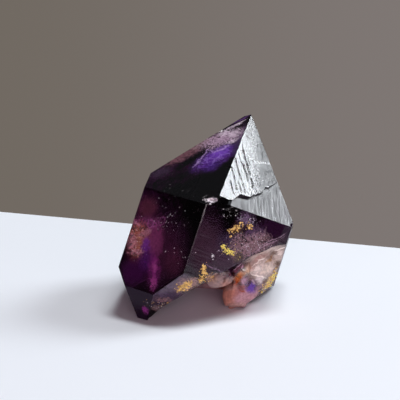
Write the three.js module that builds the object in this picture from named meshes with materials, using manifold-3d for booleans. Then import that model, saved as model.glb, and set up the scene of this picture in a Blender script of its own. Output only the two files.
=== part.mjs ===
import * as THREE from 'three';
import { ConvexGeometry } from 'three/addons/geometries/ConvexGeometry.js';
import { mergeVertices } from 'three/addons/utils/BufferGeometryUtils.js';
import Module from 'manifold-3d';

// A single amethyst: a stubby six-sided quartz prism with a whole point on top and a broken
// point underneath, where clear quartz has grown over the break. It leans to the right and
// away from the viewer, and stands on the tip of the lower point, on a lump and on its back.
// Lengths are millimetres, angles are degrees, +Z is up and the viewer looks along +Y.

// Quartz habit
const AXIAL_RATIO = 1.1001;
const FACE_STEP = 60;
const FACE_SPIN = 9.6;
const LONG_AXIS_TILT = 25.4;
const LONG_AXIS_HEADING = 44.2;
const CENTRE_HEIGHT = 8.65;

// Distance of each face from the centre, going round the long axis:
// right back, back, left, front left, front, right
const PRISM_REACH = [13.1, 13.7, 13.1, 14.9, 13.4, 13.3];
const TOP_REACH = [16, 16, 16.3, 16, 16.1, 16];
const FOOT_REACH = [12, 11.5, 15, 18.1, 13.8, 11.9];
const BACK = 1;
const FRONT_LEFT = 3;
const FRONT = 4;

// Parts of a face that stopped growing early and stand back, as (across, up) on the face
const GROWTH_STEPS = [
  {
    family: 'top',
    index: FRONT,
    drop: 0.52,
    steepening: 0.6,
    outline: [
      [-5, -1.2], [-3.3, 0.75], [-1.2, 1], [0.3, 2.2], [1.6, 3.1], [2.1, 4.3], [2.6, 4.7],
      [3.2, 4.95], [4.6, 6.4], [6.5, 8.2], [14, -9], [-5, -9],
    ],
  },
  {
    family: 'top',
    index: FRONT_LEFT,
    drop: 0.2,
    steepening: 0,
    outline: [[0.5, 20.6], [0.2, 18.8], [-2.5, 14.2], [-2.7, 13.7], [-6, 15], [-3, 22]],
  },
  {
    family: 'top',
    index: BACK,
    drop: 0.25,
    steepening: 0.5,
    outline: [
      [-9, 1.5], [-5.2, 2.4], [-4.1, 3.8], [-1.6, 3.2], [0.4, 4.9], [2.2, 4.5], [3.6, 6], [8, 6.6],
      [12, -9], [-12, -9],
    ],
  },
  {
    family: 'prism',
    index: BACK,
    drop: 0.2,
    steepening: 0.4,
    outline: [
      [-12, -3.2], [-6, -2.6], [-4.4, -1.7], [-1.9, -2.3], [0.2, -1.1], [3.5, -1.4], [12, -0.4],
      [12, -12], [-12, -12],
    ],
  },
];
const CUT_HEIGHT = 6;

// Shell-shaped breaks: three points on the rim of each and the radius of its hollow
const FRONT_BREAK = { rim: [[3.2, -13.5, 8.6], [13.5, -7.9, 12.2], [4.1, -6.8, 0]], radius: 40 };
const UNDER_BREAK = { rim: [[-7.2, -13.8, 2.9], [0.1, -15.1, 7.8], [-1, 6, 0]], radius: 60 };
const RIB_SPACING = 4.5;
const RIB_DEPTH = 0.07;
const MESH_STEPS_PER_MM = 0.9;

// Flat walls of the hollow under the crystal: a point and the open side
const HOLLOW_WALLS = [
  { point: [-10.5, -15.4, 5.3], open: [0.9, 0.3, 0.2] },
  { point: [4, -8, 2], open: [-0.95, 0.1, 0.2] },
  { point: [0, 4.5, 0], open: [-0.2, -0.9, -0.3] },
];

// Chips and pits: middle, half sizes, a turn that varies the facets and their number
const CHIPS = [
  { middle: [0.9, -12.6, 21.4], half: [1.3, 0.8, 0.5], turn: 0.3, facets: 20 },
  { middle: [1.7, -14.6, 7.6], half: [2.3, 1.7, 1.5], turn: 1.4, facets: 24 },
  { middle: [15.2, -6.9, 15.4], half: [0.7, 0.8, 0.9], turn: 0.7, facets: 18 },
  { middle: [2.1, 5.2, 29.5], half: [0.5, 0.6, 0.5], turn: 2.1, facets: 16 },
  { middle: [-8.7, -13.9, 2.6], half: [0.9, 0.8, 0.7], turn: 2.8, facets: 18 },
];

// Lumps and blocks grown on to the broken side, in the same terms as the chips
const LUMPS = [
  { middle: [5.1, -6.4, 2.6], half: [2.5, 2.6, 2.75], turn: 0.4, facets: 34 },
  { middle: [7, -5.8, 3.5], half: [2.1, 2.5, 2.3], turn: 1.9, facets: 28 },
  { middle: [8.7, -7.6, 8.9], half: [2.7, 2.3, 2.6], turn: 1.1, facets: 12 },
  { middle: [2, -10.2, 7.1], half: [2.6, 1.9, 2], turn: 0.6, facets: 20 },
  { middle: [9.4, -5.8, 5.2], half: [2.2, 2.1, 1.8], turn: 2.3, facets: 12 },
  { middle: [6.4, -8.7, 5.9], half: [1, 1.3, 1.2], turn: 0.9, facets: 16 },
  { middle: [5.9, -10.4, 8.2], half: [1.3, 1.6, 1.4], turn: 0.2, facets: 16 },
];
const FACET_UNEVENNESS = 0.14;

// Crumbs along the right-hand edge of the break
const CRUMB_ROW = { from: [12.1, -5, 6.9], to: [9.6, -4, 2.2], count: 7, half: 0.6, facets: 14 };

const COLOUR = 0x4b2a56;
const ROUGHNESS = 0.12;
const MERGE_GAP = 1e-4;
const FAR_AWAY = 80;
const GOLDEN_ANGLE = Math.PI * (3 - Math.sqrt(5));

const wasm = await Module();
wasm.setup();

function vector([x, y, z]) {
  return new THREE.Vector3(x, y, z);
}

function solidFrom(geometry) {
  const bare = geometry.clone();
  bare.deleteAttribute('normal');
  bare.deleteAttribute('uv');
  const merged = mergeVertices(bare, MERGE_GAP);
  const mesh = new wasm.Mesh({
    numProp: 3,
    vertProperties: new Float32Array(merged.attributes.position.array),
    triVerts: new Uint32Array(merged.index.array),
  });
  return new wasm.Manifold(mesh);
}

// The crystal's lean, its long axis and its centre
const heading = new THREE.Quaternion()
  .setFromAxisAngle(vector([0, 0, 1]), THREE.MathUtils.degToRad(LONG_AXIS_HEADING));
const tilt = new THREE.Quaternion()
  .setFromAxisAngle(vector([0, 1, 0]), THREE.MathUtils.degToRad(LONG_AXIS_TILT));
const lean = heading.multiply(tilt);
const longAxis = vector([0, 0, 1]).applyQuaternion(lean);
const centre = vector([0, 0, CENTRE_HEIGHT]);
const pyramidRise = Math.sqrt(3) / (2 * AXIAL_RATIO);

// One crystal face: outward normal, two directions lying in it and the foot of its normal
function crystalFace(index, rise, reach) {
  const azimuth = THREE.MathUtils.degToRad(FACE_SPIN + FACE_STEP * index);
  const upright = vector([Math.cos(azimuth), Math.sin(azimuth), rise]);
  const normal = upright.normalize().applyQuaternion(lean);
  const across = longAxis.clone().cross(normal).normalize();
  const up = normal.clone().cross(across);
  const origin = centre.clone().addScaledVector(normal, reach);
  return { normal, across, up, origin };
}

const families = {
  prism: PRISM_REACH.map((reach, index) => crystalFace(index, 0, reach)),
  top: TOP_REACH.map((reach, index) => crystalFace(index, pyramidRise, reach)),
  foot: FOOT_REACH.map((reach, index) => crystalFace(index, -pyramidRise, reach)),
};

function meetingPoint(a, b, c) {
  const across = b.normal.clone().cross(c.normal);
  const spread = a.normal.dot(across);
  if (Math.abs(spread) < MERGE_GAP) {
    return null;
  }
  return across.multiplyScalar(-a.constant)
    .addScaledVector(c.normal.clone().cross(a.normal), -b.constant)
    .addScaledVector(a.normal.clone().cross(b.normal), -c.constant)
    .divideScalar(spread);
}

// The closed solid between a set of planes, found from the corners where three of them meet
function solidBetween(faces) {
  const planes = faces.map(({ normal, origin }) => (
    new THREE.Plane().setFromNormalAndCoplanarPoint(normal, origin)));
  const corners = [];
  const isNew = (point) => corners.every((other) => other.distanceTo(point) > 10 * MERGE_GAP);
  const isInside = (point) => planes.every((plane) => plane.distanceToPoint(point) < MERGE_GAP);
  for (let i = 0; i < planes.length; i += 1) {
    for (let j = i + 1; j < planes.length; j += 1) {
      for (let k = j + 1; k < planes.length; k += 1) {
        const corner = meetingPoint(planes[i], planes[j], planes[k]);
        if (corner && isInside(corner) && isNew(corner)) {
          corners.push(corner);
        }
      }
    }
  }
  return solidFrom(new ConvexGeometry(corners));
}

// Planes so far off that they only close a solid
function farSides() {
  const sides = [[1, 0, 0], [-1, 0, 0], [0, 1, 0], [0, -1, 0], [0, 0, 1], [0, 0, -1]];
  return sides.map((side) => ({ normal: vector(side), origin: vector(side).multiplyScalar(FAR_AWAY) }));
}

function wall({ point, open }) {
  return { normal: vector(open).normalize().negate(), origin: vector(point) };
}

// What is missing above a step: a straight-sided block on the stood-back plane
function missingAbove({ family, index, drop, steepening, outline }) {
  const { normal, across, origin } = families[family][index];
  const outward = normal.clone().applyAxisAngle(across, THREE.MathUtils.degToRad(steepening));
  const shape = new THREE.Shape(outline.map(([u, v]) => new THREE.Vector2(u, v)));
  const geometry = new THREE.ExtrudeGeometry(shape, { depth: CUT_HEIGHT, bevelEnabled: false });
  const placing = new THREE.Matrix4().makeBasis(across, outward.clone().cross(across), outward);
  placing.setPosition(origin.clone().addScaledVector(outward, -drop));
  return solidFrom(geometry.applyMatrix4(placing));
}

// What a shell-shaped break takes away: a ball through the rim, with ribs round its first point
function missingShell({ rim, radius }) {
  const [a, b, c] = rim.map(vector);
  const ab = b.clone().sub(a);
  const ac = c.clone().sub(a);
  const normal = ab.clone().cross(ac);
  const toMiddle = normal.clone().cross(ab).multiplyScalar(ac.lengthSq())
    .add(ac.clone().cross(normal).multiplyScalar(ab.lengthSq()))
    .divideScalar(2 * normal.lengthSq());
  const side = Math.sign(normal.dot(a.clone().sub(centre)));
  const height = Math.sqrt(radius ** 2 - toMiddle.lengthSq());
  const ball = a.clone().add(toMiddle).addScaledVector(normal.normalize(), side * height);
  const strike = a.clone().sub(ball);
  const geometry = new THREE.IcosahedronGeometry(radius, Math.ceil(radius * MESH_STEPS_PER_MM));
  const position = geometry.attributes.position;
  const point = new THREE.Vector3();
  for (let i = 0; i < position.count; i += 1) {
    point.fromBufferAttribute(position, i);
    const along = point.angleTo(strike) * radius;
    point.setLength(radius + RIB_DEPTH * Math.sin(2 * Math.PI * along / RIB_SPACING));
    point.add(ball);
    position.setXYZ(i, point.x, point.y, point.z);
  }
  return solidFrom(geometry);
}

// A rounded lump with flat facets of uneven depth, spread evenly over it in a spiral
function lump({ middle, half, turn, facets }) {
  const size = vector(half);
  const faces = [];
  for (let i = 0; i < facets; i += 1) {
    const height = 1 - (2 * i + 1) / facets;
    const ring = Math.sqrt(1 - height ** 2);
    const angle = GOLDEN_ANGLE * i + turn;
    const direction = vector([ring * Math.cos(angle), ring * Math.sin(angle), height]);
    const depth = 1 + FACET_UNEVENNESS * Math.sin(5 * i + 7 * turn);
    const origin = direction.clone().multiplyScalar(depth).multiply(size).add(vector(middle));
    faces.push({ normal: direction.divide(size).normalize(), origin });
  }
  return solidBetween(faces);
}

function crumbs({ from, to, count, half, facets }) {
  return Array.from({ length: count }, (_, i) => {
    const middle = vector(from).lerp(vector(to), i / (count - 1)).toArray();
    const size = half * (1 + 0.3 * Math.sin(4 * i));
    return lump({ middle, half: [size, size, size], turn: i, facets });
  });
}

const floor = { normal: vector([0, 0, -1]), origin: vector([0, 0, 0]) };
const aboveFloor = solidBetween([floor, ...farSides().slice(0, 5)]);
const hollow = missingShell(UNDER_BREAK)
  .intersect(solidBetween([...HOLLOW_WALLS.map(wall), ...farSides()]));
const missing = [
  ...GROWTH_STEPS.map(missingAbove),
  missingShell(FRONT_BREAK),
  hollow,
  ...CHIPS.map(lump),
];

let crystal = solidBetween([...families.prism, ...families.top, ...families.foot, floor]);
for (const piece of missing) {
  crystal = crystal.subtract(piece);
}
for (const growth of [...LUMPS.map(lump), ...crumbs(CRUMB_ROW)]) {
  crystal = crystal.add(growth.intersect(aboveFloor));
}

// The finished surface, with the origin on the floor under the middle of the crystal
const surface = crystal.getMesh();
const indexed = new THREE.BufferGeometry();
indexed.setAttribute('position', new THREE.BufferAttribute(new Float32Array(surface.vertProperties), 3));
indexed.setIndex(new THREE.BufferAttribute(new Uint32Array(surface.triVerts), 1));
indexed.computeBoundingBox();
const middle = indexed.boundingBox.getCenter(new THREE.Vector3());
indexed.translate(-middle.x, -middle.y, -indexed.boundingBox.min.z);
const geometry = indexed.toNonIndexed();
geometry.computeVertexNormals();

const material = new THREE.MeshStandardMaterial({ color: COLOUR, roughness: ROUGHNESS, metalness: 0 });
const amethyst = new THREE.Mesh(geometry, material);
amethyst.name = 'amethyst_crystal';
const part = new THREE.Group();
part.add(amethyst);

export default part;
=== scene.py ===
"""The looks of a single amethyst crystal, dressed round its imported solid."""

from __future__ import annotations

import logging
import math
import random
from dataclasses import dataclass, field
from enum import Enum
from typing import Any, Sequence

import bmesh
import bpy
from mathutils import Euler, Matrix, Quaternion, Vector, noise
from mathutils.bvhtree import BVHTree

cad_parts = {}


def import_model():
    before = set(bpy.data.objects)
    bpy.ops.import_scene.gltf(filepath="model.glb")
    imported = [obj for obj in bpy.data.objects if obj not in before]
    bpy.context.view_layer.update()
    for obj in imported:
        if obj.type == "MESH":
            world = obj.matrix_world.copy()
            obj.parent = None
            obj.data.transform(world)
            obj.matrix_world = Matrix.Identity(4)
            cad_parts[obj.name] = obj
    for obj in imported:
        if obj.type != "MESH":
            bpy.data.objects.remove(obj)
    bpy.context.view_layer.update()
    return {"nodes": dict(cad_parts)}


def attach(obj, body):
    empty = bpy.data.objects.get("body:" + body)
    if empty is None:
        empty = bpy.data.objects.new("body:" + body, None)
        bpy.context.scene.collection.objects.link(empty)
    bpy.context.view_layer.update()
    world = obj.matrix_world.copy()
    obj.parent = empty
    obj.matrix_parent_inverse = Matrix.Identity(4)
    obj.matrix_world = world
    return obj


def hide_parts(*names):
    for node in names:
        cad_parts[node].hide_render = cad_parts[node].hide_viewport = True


LOG = logging.getLogger("amethyst")
MM = 0.001
NODE = "amethyst_crystal"
BODY = "root"

Colour = tuple[float, float, float]
Place = tuple[float, float]


class Belt(Enum):
    """The three belts of faces, by the way that they slope."""

    POINT = 1
    PRISM = 0
    FOOT = -1


class Side(Enum):
    """The faces round the long axis, in steps of sixty degrees."""

    RIGHT_BACK = 0
    BACK = 1
    LEFT = 2
    FRONT_LEFT = 3
    FRONT = 4
    RIGHT = 5


class Face(Enum):
    """The faces that carry markings of their own."""

    DARK_POINT = (Belt.POINT, Side.FRONT_LEFT)
    BRIGHT_POINT = (Belt.POINT, Side.FRONT)
    LEFT_POINT = (Belt.POINT, Side.LEFT)
    RIGHT_POINT = (Belt.POINT, Side.RIGHT)
    BACK_POINT = (Belt.POINT, Side.BACK)
    FAR_POINT = (Belt.POINT, Side.RIGHT_BACK)
    VEILED_WALL = (Belt.PRISM, Side.FRONT_LEFT)
    GOLD_WALL = (Belt.PRISM, Side.FRONT)
    LEFT_WALL = (Belt.PRISM, Side.LEFT)
    RIGHT_WALL = (Belt.PRISM, Side.RIGHT)
    BACK_WALL = (Belt.PRISM, Side.BACK)
    FAR_WALL = (Belt.PRISM, Side.RIGHT_BACK)
    DARK_FOOT = (Belt.FOOT, Side.FRONT_LEFT)
    GREY_FOOT = (Belt.FOOT, Side.FRONT)
    LEFT_FOOT = (Belt.FOOT, Side.LEFT)
    RIGHT_FOOT = (Belt.FOOT, Side.RIGHT)
    BACK_FOOT = (Belt.FOOT, Side.BACK)
    FAR_FOOT = (Belt.FOOT, Side.RIGHT_BACK)

    @property
    def number(self) -> int:
        """Gives the face's number, from 1."""
        return list(Face).index(self) + 1


@dataclass(frozen=True)
class FacePlan:
    """A flat crystal face with two directions lying in it.

    Attributes:
        normal: Outward direction of the face.
        across: Direction to the right on the face, seen from outside.
        up: Direction towards the point on the face.
        origin: Foot of the perpendicular from the crystal's centre, in metres.
    """

    normal: Vector
    across: Vector
    up: Vector
    origin: Vector

    def place(self, u: float, v: float, height: float = 0.0) -> Vector:
        """Gives the place of a point on the face.

        Args:
            u: Millimetres across the face.
            v: Millimetres up the face.
            height: Millimetres out of the face.

        Returns:
            The point in the crystal's frame, in metres.
        """
        return self.origin + (self.across * u + self.up * v + self.normal * height) * MM

    def measure(self, point: Vector) -> tuple[float, float, float]:
        """Gives where a point lies on the face.

        Args:
            point: The point in metres.

        Returns:
            Millimetres across the face, up it and out of it.
        """
        step = (point - self.origin) / MM
        return step.dot(self.across), step.dot(self.up), step.dot(self.normal)

    def turned(self, degrees: float = 0.0) -> Matrix:
        """Gives the turn from the crystal's frame to the face.

        Args:
            degrees: A further turn in the face, anticlockwise from outside.

        Returns:
            The turn, with the face's directions as its columns.
        """
        own = Matrix((self.across, self.up, self.normal)).transposed()
        return own @ Matrix.Rotation(math.radians(degrees), 3, "Z")


@dataclass
class Habit:
    """The lean and the faces of the quartz crystal, in millimetres and degrees.

    Attributes:
        tilt: Lean of the long axis from upright.
        heading: Compass direction of the lean, from +X towards +Y.
        spin: Turn of the first prism face about the long axis.
        axial_ratio: Height to width ratio of the quartz cell.
        centre: Middle of the crystal.
        reach: Distance of the faces of each belt from the centre, in the order of the sides.
        view_drop: How far the viewer looks down on the break.
        break_reach: Distance of the break's plan from the origin, towards the viewer.
        plans: The plan of every face, worked out from the rest.
    """

    tilt: float = 25.4
    heading: float = 44.2
    spin: float = 9.6
    axial_ratio: float = 1.1001
    centre: tuple[float, float, float] = (-0.218, -0.241, 8.65)
    reach: dict[Belt, tuple[float, ...]] = field(
        default_factory=lambda: {
            Belt.POINT: (16.0, 16.0, 16.3, 16.0, 16.1, 16.0),
            Belt.PRISM: (13.1, 13.7, 13.1, 14.9, 13.4, 13.3),
            Belt.FOOT: (12.0, 11.5, 15.0, 18.1, 13.8, 11.9),
        }
    )
    view_drop: float = 15.0
    break_reach: float = 9.3
    plans: dict[Face, FacePlan] = field(init=False)

    def __post_init__(self) -> None:
        """Works out the plan of every face."""
        lean = Quaternion((0, 0, 1), math.radians(self.heading))
        lean = lean @ Quaternion((0, 1, 0), math.radians(self.tilt))
        axis = lean @ Vector((0, 0, 1))
        rise = math.sqrt(3) / (2 * self.axial_ratio)
        middle = Vector(self.centre) * MM
        self.plans = {}
        for face in Face:
            belt, side = face.value
            turn = math.radians(self.spin + 60 * side.value)
            upright = Vector((math.cos(turn), math.sin(turn), rise * belt.value))
            normal = lean @ upright.normalized()
            across = axis.cross(normal).normalized()
            origin = middle + normal * self.reach[belt][side.value] * MM
            self.plans[face] = FacePlan(normal, across, normal.cross(across), origin)

    def plan(self, face: Face | None) -> FacePlan:
        """Gives the plan of a face, or the plan of the break as the viewer sees it.

        Args:
            face: The face, or None for the break.

        Returns:
            The plan.
        """
        if face is not None:
            return self.plans[face]
        drop = math.radians(self.view_drop)
        normal = Vector((0, -math.cos(drop), math.sin(drop)))
        up = Vector((0, math.sin(drop), math.cos(drop)))
        return FacePlan(normal, Vector((1, 0, 0)), up, normal * self.break_reach * MM)


class Value:
    """A socket with arithmetic: each operation adds a Math node to its sheet."""

    def __init__(self, sheet: NodeSheet, socket: bpy.types.NodeSocket) -> None:
        """Wraps an output socket of a sheet."""
        self.sheet = sheet
        self.socket = socket

    def _math(self, operation: str, *operands: Value | float) -> Value:
        """Adds a Math node.

        Args:
            operation: The Math node's operation.
            operands: The node's inputs in order.

        Returns:
            The node's result.
        """
        return self.sheet.node("ShaderNodeMath", {"operation": operation}, dict(enumerate(operands)))

    def __add__(self, other: Value | float) -> Value:
        """Adds."""
        return self._math("ADD", self, other)

    __radd__ = __add__

    def __sub__(self, other: Value | float) -> Value:
        """Subtracts."""
        return self._math("SUBTRACT", self, other)

    def __rsub__(self, other: float) -> Value:
        """Subtracts from a number."""
        return self._math("SUBTRACT", other, self)

    def __mul__(self, other: Value | float) -> Value:
        """Multiplies."""
        return self._math("MULTIPLY", self, other)

    __rmul__ = __mul__

    def __abs__(self) -> Value:
        """Gives the size without the sign."""
        return self._math("ABSOLUTE", self)

    def most(self, other: Value | float) -> Value:
        """Gives the larger of two."""
        return self._math("MAXIMUM", self, other)

    def equals(self, number: int) -> Value:
        """Gives 1 where the value is a whole number, and 0 elsewhere."""
        return self._math("COMPARE", self, number, 0.5)

    def rise(self, low: float, high: float, top: float = 1.0) -> Value:
        """Goes smoothly from 0 to a top between two values.

        Args:
            low: Where the result is 0.
            high: Where the result is at the top.
            top: The top.

        Returns:
            The smooth step, kept between 0 and the top.
        """
        settings = {"interpolation_type": "SMOOTHSTEP"}
        return self.sheet.node("ShaderNodeMapRange", settings, {0: self, 1: low, 2: high, 4: top})


class NodeSheet:
    """The nodes of one material or of the room."""

    def __init__(self, owner: bpy.types.Material | bpy.types.World) -> None:
        """Empties the owner's nodes and starts with its coordinates.

        Args:
            owner: The material, or the room.
        """
        owner.use_nodes = True
        self.tree = owner.node_tree
        self.tree.nodes.clear()
        coordinates = "Object" if isinstance(owner, bpy.types.Material) else "Generated"
        self.position = self.node("ShaderNodeTexCoord", output=coordinates)

    def node(
        self,
        kind: str,
        settings: dict[str, Any] | None = None,
        inputs: dict[int | str, Any] | None = None,
        output: int | str = 0,
    ) -> Value:
        """Adds a node.

        Args:
            kind: The node's type.
            settings: The node's own settings, set first.
            inputs: Values or links for its sockets.
            output: The socket to give back.

        Returns:
            The chosen output.
        """
        made = self.tree.nodes.new(kind)
        for name, value in (settings or {}).items():
            setattr(made, name, value)
        for name, value in (inputs or {}).items():
            if isinstance(value, Value):
                self.tree.links.new(value.socket, made.inputs[name])
            else:
                made.inputs[name].default_value = value
        return Value(self, made.outputs[output] if made.outputs else None)

    def mark(self, name: str) -> Value:
        """Reads a number that the mesh carries."""
        return self.node("ShaderNodeAttribute", {"attribute_name": name}, None, "Fac")

    def cloud(self, size: float, detail: float = 2.0) -> Value:
        """Gives cloudy noise round a half.

        Args:
            size: Size of the clouds in millimetres.
            detail: Number of finer layers.

        Returns:
            The noise.
        """
        inputs = {"Vector": self.position, "Scale": 1 / (size * MM), "Detail": detail}
        return self.node("ShaderNodeTexNoise", None, inputs, "Fac")

    def ball(self, centre: Vector, turn: Matrix, size: Sequence[float], place: Value) -> Value:
        """Gives how near a place is to the middle of a stretched ball.

        Args:
            centre: The middle in metres.
            turn: The turn whose columns are the ball's axes.
            size: The ball's half size along each axis, in millimetres.
            place: The position to measure.

        Returns:
            The nearness, 1 in the middle and 0 from the ball's surface on.
        """
        inputs = {0: place, 1: centre, 2: turn.to_euler(), 3: [length * MM for length in size]}
        local = self.node("ShaderNodeMapping", {"vector_type": "TEXTURE"}, inputs)
        return self.node("ShaderNodeTexGradient", {"gradient_type": "SPHERICAL"}, {0: local}, "Fac")

    def blend(
        self,
        share: Value | float,
        first: Value | Colour,
        second: Value | Colour,
        mode: str = "MIX",
    ) -> Value:
        """Mixes two colours.

        Args:
            share: How much of the second colour.
            first: A colour or a socket.
            second: A colour or a socket.
            mode: The way of mixing.

        Returns:
            The mixed colour.
        """
        settings = {"data_type": "RGBA", "clamp_factor": True, "blend_type": mode}
        pair = [each if isinstance(each, Value) else (*each, 1.0) for each in (first, second)]
        return self.node("ShaderNodeMix", settings, {0: share, 6: pair[0], 7: pair[1]}, 2)

    def bump(self, height: Value, distance: float, strength: float = 1.0) -> Value:
        """Raises a fine relief.

        Args:
            height: The relief, from 0 to 1.
            distance: Its height in millimetres.
            strength: How strongly it shows.

        Returns:
            The bent normal.
        """
        inputs = {"Strength": strength, "Distance": distance * MM, "Height": height}
        return self.node("ShaderNodeBump", None, inputs)

    def end(self, surface: Value, volume: Value | None = None) -> None:
        """Ends a material's sheet.

        Args:
            surface: The surface shader.
            volume: The shader of what fills the piece.
        """
        inputs = {"Surface": surface} | ({"Volume": volume} if volume else {})
        self.node("ShaderNodeOutputMaterial", None, inputs)


def make_piece(
    name: str,
    bm: bmesh.types.BMesh,
    material: bpy.types.Material,
) -> bpy.types.Object:
    """Makes a piece from its mesh and puts it in the scene.

    Args:
        name: The piece's name.
        bm: Its mesh, which is used up.
        material: Its material.

    Returns:
        The piece.
    """
    mesh = bpy.data.meshes.new(name)
    bm.to_mesh(mesh)
    bm.free()
    mesh.materials.append(material)
    piece = bpy.data.objects.new(name, mesh)
    bpy.context.scene.collection.objects.link(piece)
    return piece


# How far a patch reaches into a face and into the break, in millimetres.
FACE_DEPTH = 1.5
BREAK_DEPTH = 20.0


class Weave(Enum):
    """The ways in which a cloud is broken up."""

    GRAINS = "grains"
    THREADS = "threads"
    RINGS = "rings"


@dataclass(frozen=True)
class Spot:
    """A rounded patch on a face or on the break, in millimetres.

    Attributes:
        face: The face, or None for the break.
        at: Middle of the patch, across and up.
        size: Half sizes across and up.
        turn: Turn of the patch, in degrees anticlockwise.
    """

    face: Face | None
    at: Place
    size: Place
    turn: float

    def nearness(self, sheet: NodeSheet, habit: Habit, place: Value, fade: float = 1.5) -> Value:
        """Gives how near a place is to the middle of the patch.

        Args:
            sheet: The material's nodes.
            habit: The crystal.
            place: The position to measure.
            fade: Where the patch has died out, as a multiple of its half sizes.

        Returns:
            The nearness, 1 in the middle and 0 where the patch has died out.
        """
        plan = habit.plan(self.face)
        size = (*self.size, FACE_DEPTH if self.face else BREAK_DEPTH)
        reach = [part * fade for part in size]
        return sheet.ball(plan.place(*self.at), plan.turned(self.turn), reach, place)


@dataclass(frozen=True)
class Veil:
    """A coloured clouding in the quartz, or painted light or shade on it: a glow, highlight, sheen or
    shade.

    Attributes:
        name: What it is.
        colour: Its colour.
        cover: How much of the clear quartz it hides, from 0 to 1.
        spots: Where it lies.
        grain: Size of its grains in millimetres.
        broken: How broken up it is by its grains, from 0 to 1.
        soft: How soft its edge is, as a share of its size.
        weave: How it is broken up.
    """

    name: str
    colour: Colour
    cover: float
    spots: tuple[Spot, ...]
    grain: float = 0.8
    broken: float = 0.3
    soft: float = 0.7
    weave: Weave = Weave.GRAINS


def on(face: Face | None, *spots: tuple[float, ...]) -> tuple[Spot, ...]:
    """Lays patches on a face or on the break.

    Args:
        face: The face, or None for the break.
        spots: Middle across and up, half sizes across and up, and turn of each patch.

    Returns:
        The patches.
    """
    return tuple(Spot(face, spot[:2], spot[2:4], spot[4]) for spot in spots)


POINT_VEILS = (
    # Painted light: violet glow, its brighter heart and its darker lower part paint the light that
    # comes through the thin tip.
    Veil(
        "violet glow", (0.088, 0.025, 0.23), 0.9,
        on(Face.DARK_POINT, (0.9, 7.4, 2.3, 4.9, -20)),
        0.9, 0.2,
    ),
    Veil(
        "violet glow heart", (0.16, 0.056, 0.44), 0.8,
        on(Face.DARK_POINT, (0.9, 9.2, 1.5, 2.4, -30)),
        0.4, 0.35,
    ),
    Veil(
        "violet shade", (0.05, 0.017, 0.16), 0.7,
        on(Face.DARK_POINT, (1.9, 5.2, 1.3, 1.9, -20)),
        0.4, 0.35,
    ),
    Veil(
        "brown edge", (0.16, 0.073, 0.09), 0.85,
        on(Face.DARK_POINT, (-4.9, 6.4, 1.5, 4.6, -24)),
        0.5, 0.3,
    ),
    Veil(
        "tan edge", (0.25, 0.17, 0.18), 0.8,
        on(Face.DARK_POINT, (-3.3, 10.8, 1.1, 3.2, -30)),
        0.3, 0.4,
    ),
    Veil(
        "violet edge", (0.05, 0.032, 0.075), 0.8,
        on(Face.DARK_POINT, (2.2, 13.4, 0.8, 4.6, 22)),
        0.5, 0.2,
    ),
    Veil(
        "mauve haze", (0.42, 0.29, 0.4), 0.9,
        on(Face.DARK_POINT, (-0.9, 12.3, 2.1, 4.0, -32)),
        0.3, 0.6,
    ),
    Veil(
        "white haze", (0.66, 0.55, 0.65), 0.75,
        on(
            Face.DARK_POINT, (0.1, 14.5, 1.1, 1.5, -20), (-1.5, 14.0, 0.9, 1.2, -30),
            (1.2, 12.3, 0.6, 1.2, -20), (-1.1, 16.3, 0.4, 2.2, -27),
        ),
        0.25, 0.8,
    ),
    Veil(
        "violet veins", (0.33, 0.21, 0.62), 0.45,
        on(Face.DARK_POINT, (0.9, 8.0, 2.4, 4.6, -22)),
        1.1, 0.0, 0.6, weave=Weave.THREADS,
    ),
    Veil(
        "lilac threads", (0.51, 0.34, 0.72), 0.65,
        on(
            Face.DARK_POINT, (-1.3, 5.1, 0.2, 1.5, 5), (-1.6, 7.6, 0.2, 1.6, 8),
            (-1.0, 8.9, 0.18, 1.0, -100), (0.7, 9.9, 0.2, 1.9, -36),
        ),
        0.25, 0.5,
    ),
    Veil(
        "white line", (0.7, 0.62, 0.7), 0.9,
        on(Face.DARK_POINT, (-0.4, 17.7, 0.13, 1.4, -27)),
        0.3, 0.4,
    ),
    Veil(
        "violet strip", (0.09, 0.04, 0.15), 0.85,
        on(Face.DARK_POINT, (-1.3, 18.2, 0.35, 2.6, -28)),
        0.5, 0.1,
    ),
    Veil(
        "grey shoulder", (0.043, 0.029, 0.051), 0.7,
        on(Face.DARK_POINT, (-6.2, 0.6, 1.6, 2.2, -30)),
        0.9, 0.15,
    ),
)

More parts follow.
